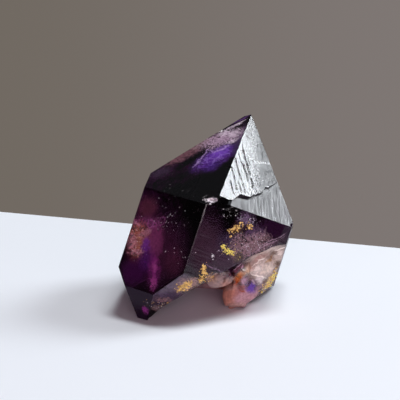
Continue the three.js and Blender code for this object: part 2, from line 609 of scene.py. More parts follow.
WALL_VEILS = (
    Veil(
        "dark depth", (0.033, 0.007, 0.022), 0.9,
        on(Face.VEILED_WALL, (0.0, -3.0, 6.0, 6.4, 10)),
        1.4, 0.0,
    ),
    Veil(
        "warm depth", (0.064, 0.014, 0.036), 0.7,
        on(Face.VEILED_WALL, (4.4, -3.9, 2.0, 2.6, 10)),
        1.4, 0.05,
    ),
    Veil(
        "maroon cloud", (0.091, 0.021, 0.04), 0.8,
        on(Face.VEILED_WALL, (-4.6, 3.6, 2.4, 2.4, 15)),
        1.4, 0.1,
    ),
    Veil(
        "purple foot", (0.037, 0.004, 0.042), 0.85,
        on(Face.VEILED_WALL, (-3.0, -7.4, 3.4, 3.0, 10)),
        1.4, 0.05,
    ),
    Veil(
        "magenta cloud", (0.16, 0.03, 0.1), 0.85,
        on(Face.VEILED_WALL, (-1.4, -0.9, 1.9, 4.0, 21)),
        1.4, 0.1,
    ),
    Veil(
        "rose edge", (0.22, 0.05, 0.14), 0.8,
        on(Face.VEILED_WALL, (-5.6, 0.5, 1.7, 1.2, 0)),
        0.25, 0.5,
    ),
    # Painted light: a pink glow of light through the crystal.
    Veil(
        "pink glow", (0.17, 0.038, 0.12), 0.75,
        on(Face.VEILED_WALL, (-3.6, 1.2, 3.0, 1.0, 14)),
        0.3, 0.6,
    ),
    Veil(
        "rust veil", (0.17, 0.036, 0.04), 0.85,
        on(Face.VEILED_WALL, (-4.6, -2.3, 2.5, 3.3, 21)),
        0.5, 0.3,
    ),
    Veil(
        "rust grains", (0.4, 0.14, 0.1), 0.6,
        on(Face.VEILED_WALL, (-4.4, -2.0, 2.0, 2.6, 21)),
        0.3, 0.75, 0.5,
    ),
    Veil(
        "violet cloud", (0.11, 0.018, 0.22), 0.85,
        on(Face.VEILED_WALL, (-2.5, -2.6, 1.0, 1.5, 21)),
        0.5, 0.25,
    ),
    Veil(
        "violet depth", (0.057, 0.009, 0.09), 0.8,
        on(Face.VEILED_WALL, (-1.5, -4.9, 1.6, 1.9, 21)),
        0.9, 0.15,
    ),
    Veil(
        "magenta streak", (0.14, 0.015, 0.11), 0.9,
        on(Face.VEILED_WALL, (0.9, -6.6, 1.15, 3.3, 21)),
        0.5, 0.2,
    ),
    # Painted highlights: glints on the magenta streak.
    Veil(
        "streak glints", (0.27, 0.047, 0.19), 0.8,
        on(Face.VEILED_WALL, (0.7, -5.7, 0.6, 0.9, 21), (1.5, -8.4, 0.7, 1.2, 21)),
        0.4, 0.3,
    ),
    Veil(
        "pink wisps", (0.5, 0.22, 0.32), 0.5,
        on(
            Face.VEILED_WALL, (-5.5, -2.9, 1.1, 1.1, 0), (-5.9, -1.9, 0.7, 0.6, 0),
            (-4.2, -4.2, 1.8, 0.4, 15), (-6.1, 0.5, 1.2, 0.3, -12), (-3.4, -0.6, 1.2, 0.5, 30),
        ),
        0.3, 0.75, 0.5,
    ),
    Veil(
        "pink rings", (0.34, 0.1, 0.27), 0.5,
        on(
            Face.VEILED_WALL, (-2.9, 1.1, 0.75, 0.75, 0), (-0.8, 2.2, 0.65, 0.7, 0),
            (-1.9, 1.2, 0.4, 0.45, 0),
        ),
        0.4, 0.2, 0.8, weave=Weave.RINGS,
    ),
    # Partly the foot's dark violet body and partly painted shade: a near-black cover that darkens the
    # foot face as the shadowed floor that it mirrors would.
    Veil(
        "dark body and foot shade", (0.014, 0.005, 0.018), 0.96,
        on(Face.DARK_FOOT, (-1.0, -0.4, 5.2, 4.8, 0)),
        0.9, 0.0, 0.4,
    ),
    Veil(
        "magenta toe", (0.3, 0.035, 0.26), 0.9,
        on(Face.DARK_FOOT, (0.15, -2.5, 0.85, 0.7, 0)),
        0.3, 0.5, 0.95,
    ),
    Veil(
        "grey foot", (0.06, 0.034, 0.07), 0.85,
        on(Face.GREY_FOOT, (-9.6, -0.9, 2.8, 4.4, -30)),
        0.9, 0.15,
    ),
    # Painted sheen: a paler patch on the upper right of the grey foot face.
    Veil(
        "foot sheen", (0.14, 0.11, 0.15), 0.8,
        on(Face.GREY_FOOT, (-9.7, 1.6, 1.6, 3.6, -29)),
        0.9, 0.1,
    ),
    Veil(
        "foot fringe", (0.17, 0.095, 0.1), 0.85,
        on(Face.GREY_FOOT, (-9.0, -2.6, 2.2, 0.6, 10)),
        0.25, 0.8,
    ),
    Veil(
        "pale foot", (0.37, 0.23, 0.21), 0.85,
        on(Face.GREY_FOOT, (-7.2, 2.3, 1.7, 2.6, -30)),
        0.3, 0.4,
    ),
)

GOLD_VEILS = (
    Veil(
        "smoky wall", (0.036, 0.016, 0.027), 0.9,
        on(Face.GOLD_WALL, (-7.2, 0.0, 3.8, 6.0, 20)),
        1.4, 0.0,
    ),
    Veil(
        "smoky lens", (0.049, 0.025, 0.043), 0.85,
        on(Face.GOLD_WALL, (-2.8, -0.6, 4.0, 3.4, 10)),
        1.4, 0.05,
    ),
    Veil(
        "purple corner", (0.015, 0.003, 0.015), 0.9,
        on(Face.GOLD_WALL, (4.0, 6.6, 4.2, 2.2, 25), (6.9, 7.0, 1.8, 2.4, 0)),
        1.4, 0.05,
    ),
    Veil(
        "lilac halo", (0.061, 0.038, 0.077), 0.7,
        on(Face.GOLD_WALL, (-3.0, 2.2, 2.2, 2.2, 0)),
        0.3, 0.45,
    ),
    Veil(
        "brown gold", (0.12, 0.061, 0.028), 0.8,
        on(Face.GOLD_WALL, (-2.4, 4.8, 1.4, 1.0, 35)),
        0.3, 0.4,
    ),
    Veil(
        "lilac cloud", (0.15, 0.097, 0.17), 0.85,
        on(Face.GOLD_WALL, (-1.3, 6.9, 1.7, 1.4, 15)),
        0.3, 0.5,
    ),
    Veil(
        "lilac fringe", (0.11, 0.061, 0.12), 0.8,
        on(Face.GOLD_WALL, (0.7, 5.0, 2.0, 1.3, 25)),
        0.3, 0.5,
    ),
    Veil(
        "brown mist", (0.079, 0.043, 0.052), 0.8,
        on(Face.GOLD_WALL, (1.4, 2.7, 3.2, 1.7, 36)),
        0.5, 0.25,
    ),
    Veil(
        "pale margin", (0.11, 0.07, 0.095), 0.75,
        on(Face.GOLD_WALL, (4.6, 4.0, 3.0, 0.7, 38)),
        0.3, 0.4,
    ),
    Veil(
        "grains of mist", (0.28, 0.17, 0.19), 0.7,
        on(Face.GOLD_WALL, (1.2, 2.6, 3.4, 1.9, 34), (-1.2, 2.4, 1.4, 1.6, 0)),
        0.25, 0.8, 0.5,
    ),
    Veil(
        "threads of mist", (0.35, 0.22, 0.27), 0.6,
        on(Face.GOLD_WALL, (1.4, 3.2, 4.0, 2.4, 34)),
        1.4, 0.0, 0.5, weave=Weave.THREADS,
    ),
    Veil(
        "olive patch", (0.077, 0.052, 0.036), 0.85,
        on(Face.GOLD_WALL, (-0.5, 0.2, 0.9, 0.7, 30)),
        0.3, 0.4,
    ),
    Veil(
        "bright rays", (0.36, 0.25, 0.33), 0.8,
        on(
            Face.GOLD_WALL, (3.6, 3.3, 4.0, 0.1, 43), (4.9, 5.0, 2.6, 0.08, 40),
            (2.0, 3.9, 0.07, 1.6, 40), (0.6, 2.2, 0.08, 1.6, 55),
        ),
        0.25, 0.3,
    ),
    # Painted highlight: thin bright lines along the rim of the lens's lower arc.
    Veil(
        "lens rim highlight", (0.31, 0.2, 0.31), 0.55,
        on(
            Face.GOLD_WALL, (-4.2, -2.9, 1.9, 0.12, -2), (-1.2, -2.4, 1.2, 0.12, 30),
            (0.5, -0.9, 1.3, 0.12, 50),
        ),
        0.25, 0.5,
    ),
)

FAR_VEILS = (
    Veil(
        "far violet", (0.075, 0.024, 0.13), 0.75,
        (
            *on(Face.BACK_POINT, (0.0, 5.0, 4.5, 5.0, 0)),
            *on(Face.FAR_POINT, (0.0, 6.0, 4.0, 6.0, 0)),
            *on(Face.LEFT_POINT, (0.0, 6.0, 4.0, 5.0, 0)),
            *on(Face.BACK_WALL, (1.0, 2.0, 5.0, 5.0, 20)),
            *on(Face.FAR_WALL, (-1.0, 0.0, 5.0, 5.0, -20)),
            *on(Face.LEFT_WALL, (0.0, 0.0, 4.5, 5.5, 0)),
            *on(Face.RIGHT_POINT, (0.0, 6.0, 4.0, 6.0, 0)),
            *on(Face.RIGHT_WALL, (0.0, 1.0, 5.0, 5.0, 0)),
        ),
        1.4, 0.5,
    ),
    Veil(
        "far magenta", (0.12, 0.02, 0.1), 0.75,
        (
            *on(Face.BACK_WALL, (-2.0, -4.0, 2.0, 3.0, 20)),
            *on(Face.FAR_WALL, (2.0, -3.0, 2.0, 3.0, -20)),
            *on(Face.LEFT_WALL, (1.0, -4.0, 2.0, 3.0, 10)),
            *on(Face.RIGHT_POINT, (-1.0, 2.0, 2.0, 2.0, 0)),
        ),
        0.5, 0.5,
    ),
    Veil(
        "far threads", (0.3, 0.2, 0.42), 0.45,
        (*on(Face.BACK_POINT, (0.0, 6.0, 4.0, 4.0, 0)), *on(Face.FAR_WALL, (0.0, 2.0, 4.0, 4.0, 0))),
        1.1, 0.0, 0.6, weave=Weave.THREADS,
    ),
)

BREAK_VEILS = (
    # Painted light: the walls of the hollow under the arch are painted pale pink to stand for the light
    # seen through the gap.
    Veil("pink hollow light", (0.94, 0.63, 0.63), 0.9, on(None, (0.8, 1.2, 4.6, 3.0, 0)), 0.9, 0.1),
    # Painted shade: the riser under the ledge of the bright face, painted nearly black.
    Veil(
        "ledge shade", (0.03, 0.027, 0.034), 0.95,
        on(None, (6.4, 18.3, 3.2, 1.6, 0), (10.4, 19.3, 2.8, 1.8, 0)),
        0.5, 0.1,
    ),
    # Painted highlight: a white sparkle on a chipped corner.
    Veil("chip sparkle", (0.95, 0.93, 0.97), 0.9, on(None, (0.0, 17.3, 1.7, 0.8, -10)), 0.25, 0.95),
    Veil("tip chip", (0.62, 0.54, 0.6), 0.9, on(None, (1.4, 29.5, 1.2, 1.2, 0)), 0.25, 0.4),
    Veil("dark corner", (0.02, 0.012, 0.025), 0.95, on(None, (14.4, 12.4, 1.6, 2.0, 0)), 0.5, 0.1),
    Veil("grey toe", (0.11, 0.07, 0.075), 0.9, on(None, (-9.6, -1.3, 2.6, 1.8, 0)), 0.25, 0.5),
    Veil("brown underside", (0.25, 0.17, 0.16), 0.95, on(None, (2.0, 3.2, 3.2, 2.2, -15)), 0.5, 0.25),
    Veil("tan underside", (0.35, 0.22, 0.16), 0.85, on(None, (0.4, 4.0, 1.2, 0.8, -15)), 0.25, 0.5),
    Veil("pale underside", (0.51, 0.38, 0.36), 0.85, on(None, (3.0, 2.2, 1.2, 0.5, 8)), 0.3, 0.4),
    # Painted shade: a dark spot in a pit of the underside.
    Veil("pit shade", (0.041, 0.021, 0.021), 0.9, on(None, (2.8, 3.4, 0.3, 0.7, -20)), 0.25, 0.3),
    Veil("beige block", (0.53, 0.41, 0.36), 0.95, on(None, (10.2, 6.6, 4.2, 2.8, 30)), 0.9, 0.1, 0.5),
    Veil("pink slope", (0.46, 0.3, 0.27), 0.85, on(None, (9.2, 7.4, 1.8, 0.55, 32)), 0.5, 0.2),
    Veil("pale slope", (0.7, 0.57, 0.49), 0.9, on(None, (10.3, 5.4, 1.4, 0.7, 25)), 0.5, 0.2),
    Veil(
        "white facet", (0.75, 0.62, 0.57), 0.9,
        on(None, (8.35, 5.45, 0.95, 0.8, 0), (12.5, 8.0, 0.3, 0.45, 0)),
        0.25, 0.4,
    ),
    Veil("low block", (0.63, 0.53, 0.52), 0.95, on(None, (9.1, 3.3, 1.7, 1.0, -15)), 0.3, 0.3),
    Veil("brown step", (0.39, 0.28, 0.24), 0.85, on(None, (7.7, 3.9, 0.75, 0.8, 0)), 0.3, 0.3),
    Veil(
        "white crack", (0.96, 0.86, 0.78), 0.9,
        on(None, (8.9, 4.2, 1.7, 0.13, -19), (8.6, 6.7, 2.0, 0.1, 33), (12.6, 8.9, 1.2, 0.12, 20)),
        0.25, 0.2,
    ),
    Veil("gold seam", (0.38, 0.2, 0.09), 0.85, on(None, (10.7, 7.1, 1.0, 0.28, 40)), 0.25, 0.4),
    Veil(
        "dark brown flaws", (0.12, 0.061, 0.041), 0.9,
        on(None, (11.3, 8.0, 0.8, 0.5, 10), (12.2, 5.9, 0.9, 0.9, 20), (10.1, 3.0, 0.85, 0.65, 30)),
        0.25, 0.4,
    ),
    Veil("mauve corner", (0.27, 0.16, 0.18), 0.85, on(None, (8.9, 2.1, 1.0, 0.55, 25)), 0.3, 0.3),
    Veil("gold margin", (0.61, 0.43, 0.21), 0.9, on(None, (10.9, 3.1, 2.2, 0.5, 53)), 0.25, 0.5),
    Veil("peach foot", (0.5, 0.21, 0.15), 0.96, on(None, (3.8, 0.2, 2.1, 2.9, 0)), 0.9, 0.1, 0.5),
    Veil("pink foot", (0.47, 0.25, 0.28), 0.95, on(None, (6.8, 0.2, 2.3, 2.0, 25)), 0.9, 0.1, 0.5),
    Veil(
        "pale toe", (0.49, 0.31, 0.27), 0.8,
        on(None, (4.8, -1.2, 2.2, 0.5, 3), (3.9, 1.9, 0.9, 0.45, 20)),
        0.25, 0.5,
    ),
    Veil(
        "tan post", (0.49, 0.29, 0.2), 0.95,
        on(None, (6.8, 5.5, 0.5, 1.0, -10), (5.8, 4.7, 1.1, 0.5, 30)),
        0.3, 0.25,
    ),
    Veil("orange crust", (0.6, 0.2, 0.05), 0.95, on(None, (5.3, 3.9, 1.0, 0.8, 40)), 0.3, 0.3),
    Veil(
        "red rust", (0.34, 0.05, 0.012), 0.95,
        on(None, (4.9, 3.2, 0.4, 0.6, 0), (5.45, 4.0, 0.25, 0.25, 0), (5.9, 1.5, 0.5, 0.22, -10)),
        0.25, 0.3,
    ),
    Veil("rose pebble", (0.34, 0.14, 0.14), 0.9, on(None, (6.0, 2.2, 0.85, 0.7, 0)), 0.3, 0.2),
    Veil("lilac pebble", (0.44, 0.27, 0.35), 0.92, on(None, (6.4, 3.4, 0.8, 0.8, 20)), 0.3, 0.2),
    Veil("violet bruise", (0.11, 0.045, 0.34), 0.92, on(None, (7.5, 2.0, 0.95, 1.0, 20)), 0.3, 0.3),
    Veil("pale bruise", (0.59, 0.45, 0.53), 0.85, on(None, (7.9, 3.0, 0.45, 0.4, 0)), 0.25, 0.3),
    Veil("magenta strip", (0.12, 0.033, 0.057), 0.9, on(None, (4.6, 5.1, 2.1, 0.5, 34)), 0.5, 0.15),
    # Painted highlight: a glint and a thin light line on the magenta strip.
    Veil(
        "strip glint", (0.62, 0.37, 0.49), 0.9,
        on(None, (6.0, 5.8, 0.2, 0.4, -30), (4.8, 5.7, 1.5, 0.08, 36)),
        0.25, 0.2,
    ),
)


@dataclass(frozen=True)
class AmethystFinish:
    """Clear violet quartz with clouded and crusted places.

    Attributes:
        refraction: Index of refraction of quartz.
        haze_refraction: Index of refraction of clouded quartz.
        stain: Colour that the stain leaves of white light.
        strength: Strength of the stain per metre.
        polish: Roughness of a clean face.
        frosting: Roughness that a frosted face adds.
        wander: How far the clouds' edges wander, in millimetres.
        deep: Colour of clouding that has no colour of its own.
        raw: Colour of a bare break.
        raw_cover: How clouded a bare break is.
        unevenness: Brightness of the brightest grains of the clouds.
        tone_size: Size of those grains, in millimetres.
        drift_sizes: Sizes of the waves in the clouds' edges along each axis, in millimetres.
        grain_range: Noise at which a grain is darkest and brightest.
        thread_fall: How steeply a thread dies out to its sides.
        ring_at: Nearness to its middle at which a ring lies.
        ring_fall: How steeply a ring dies out to its sides.
        start: Nearness to its middle from which a cloud shows.
        pit_size: Size of the pits on a break, in millimetres.
        pit_depth: Depth of the pits, in millimetres.
        pit_show: How strongly the pits show.
    """

    refraction: float = 1.544
    haze_refraction: float = 1.2
    stain: Colour = (0.72, 0.2, 0.7)
    strength: float = 620.0
    polish: float = 0.03
    frosting: float = 0.4
    wander: float = 1.2
    deep: Colour = (0.03, 0.01, 0.03)
    raw: Colour = (0.14, 0.1, 0.13)
    raw_cover: float = 0.6
    unevenness: float = 1.2
    tone_size: float = 0.5
    drift_sizes: tuple[float, float, float] = (1.3, 1.45, 1.6)
    grain_range: tuple[float, float] = (0.3, 0.7)
    thread_fall: float = 24.0
    ring_at: float = 0.4
    ring_fall: float = 4.0
    start: float = 0.05
    pit_size: float = 0.35
    pit_depth: float = 0.02
    pit_show: float = 0.2

    def material(self, habit: Habit) -> bpy.types.Material:
        """Makes the crystal's material.

        Args:
            habit: The crystal.

        Returns:
            The material.
        """
        material = bpy.data.materials.new("amethyst")
        sheet = NodeSheet(material)
        cover, colour = self._clouding(sheet, habit)
        frost = sheet.mark("frost")
        broken = sheet.mark("broken")
        pits = sheet.cloud(self.pit_size, 3.0)
        roughness = self.polish + frost * self.frosting + broken * (pits * self.pit_show)
        normal = sheet.bump(pits * broken, self.pit_depth, self.pit_show)
        shared = {"Roughness": roughness, "IOR": self.refraction, "Normal": normal}
        clear = {"Base Color": (1.0, 1.0, 1.0, 1.0), "Transmission Weight": 1.0}
        glass = sheet.node("ShaderNodeBsdfPrincipled", None, shared | clear)
        hazy = {"Base Color": colour, "IOR": self.haze_refraction}
        clouded = sheet.node("ShaderNodeBsdfPrincipled", None, shared | hazy)
        surface = sheet.node("ShaderNodeMixShader", None, {0: cover, 1: glass, 2: clouded})
        stain = {"Color": (*self.stain, 1.0), "Density": self.strength}
        filling = sheet.node("ShaderNodeVolumeAbsorption", None, stain)
        sheet.end(surface, filling)
        return material

    def _clouding(self, sheet: NodeSheet, habit: Habit) -> tuple[Value, Value]:
        """Lays the clouds, and the painted glows, highlights and shade, over each other.

        Args:
            sheet: The material's nodes.
            habit: The crystal.

        Returns:
            How much is clouded, and the clouds' colour.
        """
        wander = self.wander * MM
        drifts = [(sheet.cloud(size, 3.0) - 0.5) * wander for size in self.drift_sizes]
        drift = sheet.node("ShaderNodeCombineXYZ", None, dict(enumerate(drifts)))
        place = sheet.node("ShaderNodeVectorMath", {"operation": "ADD"}, {0: sheet.position, 1: drift})
        broken = sheet.mark("broken")
        number = sheet.mark("number")
        cover = broken * self.raw_cover
        colour = sheet.blend(broken, self.deep, self.raw)
        weaves: dict[tuple[Weave, float], Value] = {}
        for veil in (*FAR_VEILS, *POINT_VEILS, *WALL_VEILS, *GOLD_VEILS, *BREAK_VEILS):
            key = (veil.weave, veil.grain)
            if key not in weaves:
                weaves[key] = self._weave(sheet, *key)
            shape = None
            for spot in veil.spots:
                near = spot.nearness(sheet, habit, place)
                if veil.weave is Weave.RINGS:
                    near = 1 - abs(near - self.ring_at) * self.ring_fall
                if spot.face:
                    near = near * number.equals(spot.face.number)
                shape = near if shape is None else shape.most(near)
            if veil.weave is Weave.THREADS:
                shape = shape * weaves[key]
            elif veil.broken:
                shape = shape * (weaves[key] * (2 * veil.broken) + (1 - veil.broken))
            mask = shape.rise(self.start, self.start + veil.soft, veil.cover)
            if veil in BREAK_VEILS:
                mask = mask * broken
            colour = sheet.blend(mask, colour, veil.colour)
            cover = cover.most(mask)
        light, dark = (self.unevenness,) * 3, (1 / self.unevenness,) * 3
        tone = sheet.blend(sheet.cloud(self.tone_size, 5.0).rise(*self.grain_range), dark, light)
        return cover, sheet.blend(1.0, colour, tone, "MULTIPLY")

    def _weave(self, sheet: NodeSheet, weave: Weave, size: float) -> Value:
        """Gives the pattern that breaks up a cloud.

        Args:
            sheet: The material's nodes.
            weave: The kind of pattern.
            size: Its size in millimetres.

        Returns:
            The pattern, from 0 to 1.
        """
        grains = sheet.cloud(size, 6.0)
        if weave is Weave.THREADS:
            return (1 - abs(grains - 0.5) * self.thread_fall).most(0.0)
        return grains.rise(*self.grain_range)


@dataclass(frozen=True)
class Ripple:
    """Smooth noise over a face.

    Attributes:
        across: Length of its waves across the face, in millimetres.
        up: Length of its waves up the face, in millimetres.
        layer: The layer of the noise that it reads.
        share: Its share in a sum of ripples.
    """

    across: float
    up: float
    layer: float
    share: float = 1.0

    def at(self, u: float, v: float) -> float:
        """Gives the noise round 0 at a place on the face, in millimetres across and up."""
        return self.share * noise.noise(Vector((u / self.across, v / self.up, self.layer)))


@dataclass(frozen=True)
class Furrow:
    """A narrow furrow or a low ridge on a face, in millimetres.

    Attributes:
        course: The points that it passes, across and up the face.
        width: Half its width.
        height: Its height, below 0 for a furrow.
    """

    course: tuple[Place, ...]
    width: float
    height: float

    def at(self, u: float, v: float) -> float:
        """Gives its height at a place on the face.

        Args:
            u: Millimetres across.
            v: Millimetres up.

        Returns:
            The height in millimetres.
        """
        nearest = math.inf
        for (u0, v0), (u1, v1) in zip(self.course, self.course[1:]):
            run_u, run_v = u1 - u0, v1 - v0
            share = ((u - u0) * run_u + (v - v0) * run_v) / (run_u * run_u + run_v * run_v)
            share = min(max(share, 0.0), 1.0)
            nearest = min(nearest, math.hypot(u - u0 - share * run_u, v - v0 - share * run_v))
        return self.height * math.exp(-((nearest / self.width) ** 2))


@dataclass
class BrightRelief:
    """The growth marks on the bright face of the point, in millimetres.

    Attributes:
        spacing: Width and height of the net that carries the relief.
        furrows: Furrows and ridges.
        seam: Smooth seam at the foot of the growth hillock.
        hillock: Course of the foot of the growth hillock near the tip.
        hillock_height: Height of the hillock over the rest of the face.
        wave: Height of the long waves.
        groove: Height of the fine steep grooves.
        granule: Height of the granules.
        streak: Height of the streaks under the ledge.
        ledge_depth: Depth under the face beyond which a place is under the ledge.
        waves: Ripples of the long waves.
        grooves: Ripples of the grooves.
        granules: Ripples of the granules.
        streaks: Ripples of the streaks.
        lean: How far the marks lean across for each millimetre up.
        fewest: Share of the granules at the left.
        hillock_slope: Width of the slope at the foot of the hillock.
        matt_from: How far left of the middle the face starts to turn matt.
        matt_lean: How far that place moves left for each millimetre up.
        matt_width: Width over which the face turns matt.
        clean: Frosting of the clean left of the face.
        matt: Frosting that the right of the face adds.
        patches: Unevenness of the frosting.
        ledge_frost: Frosting under the ledge.
        ledge_patches: Unevenness of the frosting under the ledge.
    """

    spacing: Place = (0.08, 0.12)
    furrows: tuple[Furrow, ...] = (
        Furrow(((-2.3, 12.1), (-1.9, 9.6), (-1.4, 7.6), (-0.9, 5.2), (-0.5, 3.4)), 0.128, -0.053),
        Furrow(((-4.0, 8.6), (-3.7, 7.4), (-3.3, 5.4), (-2.9, 4.3)), 0.104, -0.048),
        Furrow(((-5.0, 6.6), (-4.6, 5.2), (-4.2, 4.2)), 0.096, -0.043),
        Furrow(((-2.2, 7.9), (-1.9, 6.3), (-1.5, 4.6)), 0.112, -0.048),
        Furrow(((-5.2, 3.0), (-4.9, 1.4), (-4.6, 0.4)), 0.096, -0.043),
        Furrow(((-3.5, 3.5), (-3.2, 2.2), (-3.0, 1.4)), 0.096, -0.037),
        Furrow(((-3.1, 9.9), (-2.7, 8.3), (-2.5, 6.9)), 0.112, 0.033),
        Furrow(((-4.4, 4.4), (-4.1, 2.8), (-3.9, 1.6)), 0.1, -0.035),
        Furrow(((-2.6, 3.4), (-2.3, 2.2), (-2.1, 1.2)), 0.1, -0.035),
        Furrow(((-1.0, 6.6), (-0.6, 4.6), (-0.2, 2.6)), 0.1, -0.03),
        Furrow(((0.4, 7.8), (0.8, 5.6), (1.2, 3.8)), 0.1, -0.03),
    )
    seam: Furrow = Furrow(((-2.1, 11.4), (-1.4, 9.8), (0.7, 9.4), (3.2, 10.2), (4.6, 10.6)), 0.25, 0.6)
    hillock: tuple[Place, ...] = (
        (-2.4, 12.4), (-2.1, 11.4), (-1.4, 9.7), (0.7, 9.3), (3.2, 10.1), (5.0, 10.6)
    )
    hillock_height: float = 0.012
    wave: float = 0.018
    groove: float = 0.02
    granule: float = 0.03
    streak: float = 0.03
    ledge_depth: float = 0.15
    waves: tuple[Ripple, ...] = (Ripple(0.9, 2.4, 1.0), Ripple(0.4, 1.2, 5.0, 0.5))
    grooves: Ripple = Ripple(0.25, 2.2, 7.0)
    granules: Ripple = Ripple(0.36, 0.5, 2.0)
    streaks: tuple[Ripple, ...] = (Ripple(0.25, 3.2, 3.0), Ripple(0.7, 1.6, 8.0, 1.2))
    lean: float = 0.2
    fewest: float = 0.4
    hillock_slope: float = 0.3
    matt_from: float = 2.7
    matt_lean: float = 0.04
    matt_width: float = 5.0
    clean: float = 0.04
    matt: float = 0.8
    patches: Ripple = Ripple(0.3, 0.5, 9.0, 0.2)
    ledge_frost: float = 0.84
    ledge_patches: Ripple = Ripple(0.3, 3.0, 6.0, 0.4)

    def height(self, u: float, v: float, depth: float) -> float:
        """Gives the relief at a place.

        Args:
            u: Millimetres across.
            v: Millimetres up.
            depth: How far the place stands back from the face.

        Returns:
            The height in millimetres.
        """
        if depth > self.ledge_depth:
            return self.streak * sum(ripple.at(u, v) for ripple in self.streaks)
        slant = u + self.lean * v
        waves = sum(ripple.at(slant, v) for ripple in self.waves)
        grains = self.granules.at(slant, v)
        marks = sum(furrow.at(u, v) for furrow in self.furrows)
        granule = self.granule * (self.fewest + self._right(u, v))
        fine = self.groove * self.grooves.at(slant, v) + granule * grains
        return marks + self.wave * waves + fine + self._hill(u, v)

    def _right(self, u: float, v: float) -> float:
        """Gives how far to the right a place lies, from 0 to 1."""
        return min(max((u + self.matt_from + self.matt_lean * v) / self.matt_width, 0.0), 1.0)

    def _hill(self, u: float, v: float) -> float:
        """Gives the hillock's height at a place.

        Args:
            u: Millimetres across.
            v: Millimetres up.

        Returns:
            The height in millimetres.
        """
        foot = self.hillock[0][1]
        for (u0, v0), (u1, v1) in zip(self.hillock, self.hillock[1:]):
            if u0 <= u <= u1:
                foot = v0 + (v1 - v0) * (u - u0) / (u1 - u0)
        step = min(max((v - foot) / self.hillock_slope + 0.5, 0.0), 1.0)
        return self.hillock_height * step * step * (3 - 2 * step)

    def roughness(self, u: float, v: float, depth: float) -> float:
        """Gives how frosted a place is, from 0 to 1.

        Args:
            u: Millimetres across.
            v: Millimetres up.
            depth: How far the place stands back from the face.

        Returns:
            The frosting.
        """
        if depth > self.ledge_depth:
            return self.ledge_frost + self.ledge_patches.at(u, v)
        matt = self.clean + self.matt * self._right(u, v) + self.patches.at(u, v)
        return matt * (1 - self.seam.at(u, v))


@dataclass
class WallRelief:
    """The fine cross ribs of a prism face, in millimetres.

    Attributes:
        spacing: Width and height of the net that carries the ribs.
        rib: Height of the ribs.
        fade: Where across the face the ribs are highest, and where they have died out.
        frosting: How frosted the face is, from 0 to 1.
        ripples: Ripples of the ribs.
        least: Share of the ribs that is left where they have died out.
    """

    spacing: Place = (0.9, 0.13)
    rib: float = 0.006
    fade: tuple[float, float] = (-9.0, -1.0)
    frosting: float = 0.04
    ripples: tuple[Ripple, ...] = (Ripple(5.0, 0.3, 4.0), Ripple(2.5, 0.7, 9.0, 0.7))
    least: float = 0.15

    def height(self, u: float, v: float, depth: float) -> float:
        """Gives the ribs' height at a place.

        Args:
            u: Millimetres across.
            v: Millimetres up.
            depth: Not used.

        Returns:
            The height in millimetres.
        """
        near, far = self.fade
        left = min(max((far - u) / (far - near), self.least), 1.0)
        return self.rib * left * sum(ripple.at(u, v) for ripple in self.ripples)

    def roughness(self, u: float, v: float, depth: float) -> float:
        """Gives how frosted a place is."""
        return self.frosting


FAR_RIBS = WallRelief(spacing=(2.0, 0.3), rib=0.015, fade=(-9.0, 60.0), frosting=0.1)


